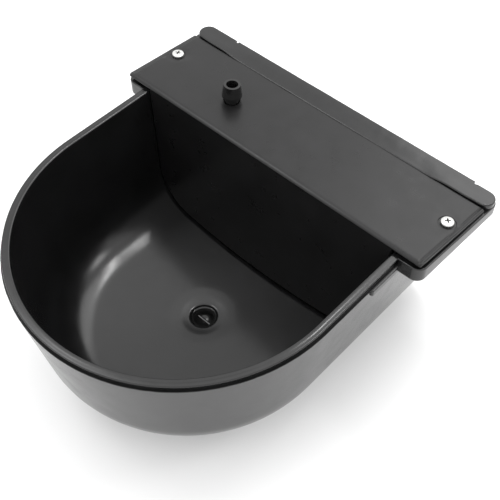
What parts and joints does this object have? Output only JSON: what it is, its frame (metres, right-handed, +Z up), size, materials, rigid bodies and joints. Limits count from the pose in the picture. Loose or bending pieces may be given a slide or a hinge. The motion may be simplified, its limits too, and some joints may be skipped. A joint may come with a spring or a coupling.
{
  "type": "float-valve drinking bowl",
  "caption": "Wall-hung black plastic livestock drinking bowl: D-shaped basin, screwed cover with baffle, hose inlet, hidden float valve and a bottom drain plug.",
  "frame": {"origin": "centre of the footprint, on the plane that the foot ring and the rear feet stand on", "axes": "+Z up, -Y towards the drinking side, +Y into the wall, +X to the right seen from the drinking side"},
  "size_m": [0.2564, 0.2602, 0.1385],
  "materials": {
    "shell_plastic": "glossy injection-moulded black plastic",
    "cover_plastic": "glossy black plastic with a slightly softer sheen",
    "valve_plastic": "glossy black plastic",
    "zinc_screw": "bright zinc plate",
    "steel": "stainless steel, satin",
    "brass": "turned brass",
    "acetal": "natural white acetal",
    "float_plastic": "natural white blow-moulded plastic",
    "rubber": "black rubber"
  },
  "bodies": {
    "bowl": {"bowl_shell": "shell_plastic", "rear_cap": "shell_plastic", "cover": "cover_plastic", "cover_screws": "zinc_screw", "valve_body": "valve_plastic", "valve_gasket": "rubber", "valve_screws": "steel", "nozzle": "acetal", "lever_pin": "steel", "pin_clip": "steel"},
    "float_arm": {"lever": "valve_plastic", "float_shell": "float_plastic", "float_lid": "float_plastic", "float_insert": "brass", "float_bolt": "steel", "float_washer": "steel", "float_nut": "steel"},
    "valve_piston": {"piston": "acetal", "piston_seal": "rubber"},
    "drain_seal": {"drain_gasket": "rubber"},
    "drain_screw": {"drain_plug": "valve_plastic"}
  },
  "joints": [
    {"name": "float_swing", "type": "hinge", "parent": "bowl", "child": "float_arm", "pos_m": [-0.0665, 0.07717, 0.08778], "axis": [0, -0.9973, 0.0741], "range_deg": [0, 15]},
    {"name": "piston_lift", "type": "slide", "parent": "bowl", "child": "valve_piston", "axis": [0, 0.0741, 0.9973], "range_m": [0, 0.0032]},
    {"name": "plug_travel", "type": "slide", "parent": "bowl", "child": "drain_seal", "axis": [0, 0, -1], "range_m": [0, 0.0065]},
    {"name": "plug_turn", "type": "hinge", "parent": "drain_seal", "child": "drain_screw", "pos_m": [0, -0.011, 0.005], "axis": [0, 0, -1], "range_deg": [0, 1080]}
  ],
  "couplings": [
    {"joint": "piston_lift", "follows": "float_swing", "m_per_rad": 0.012},
    {"joint": "plug_travel", "follows": "plug_turn", "m_per_rad": 0.00031831}
  ]
}
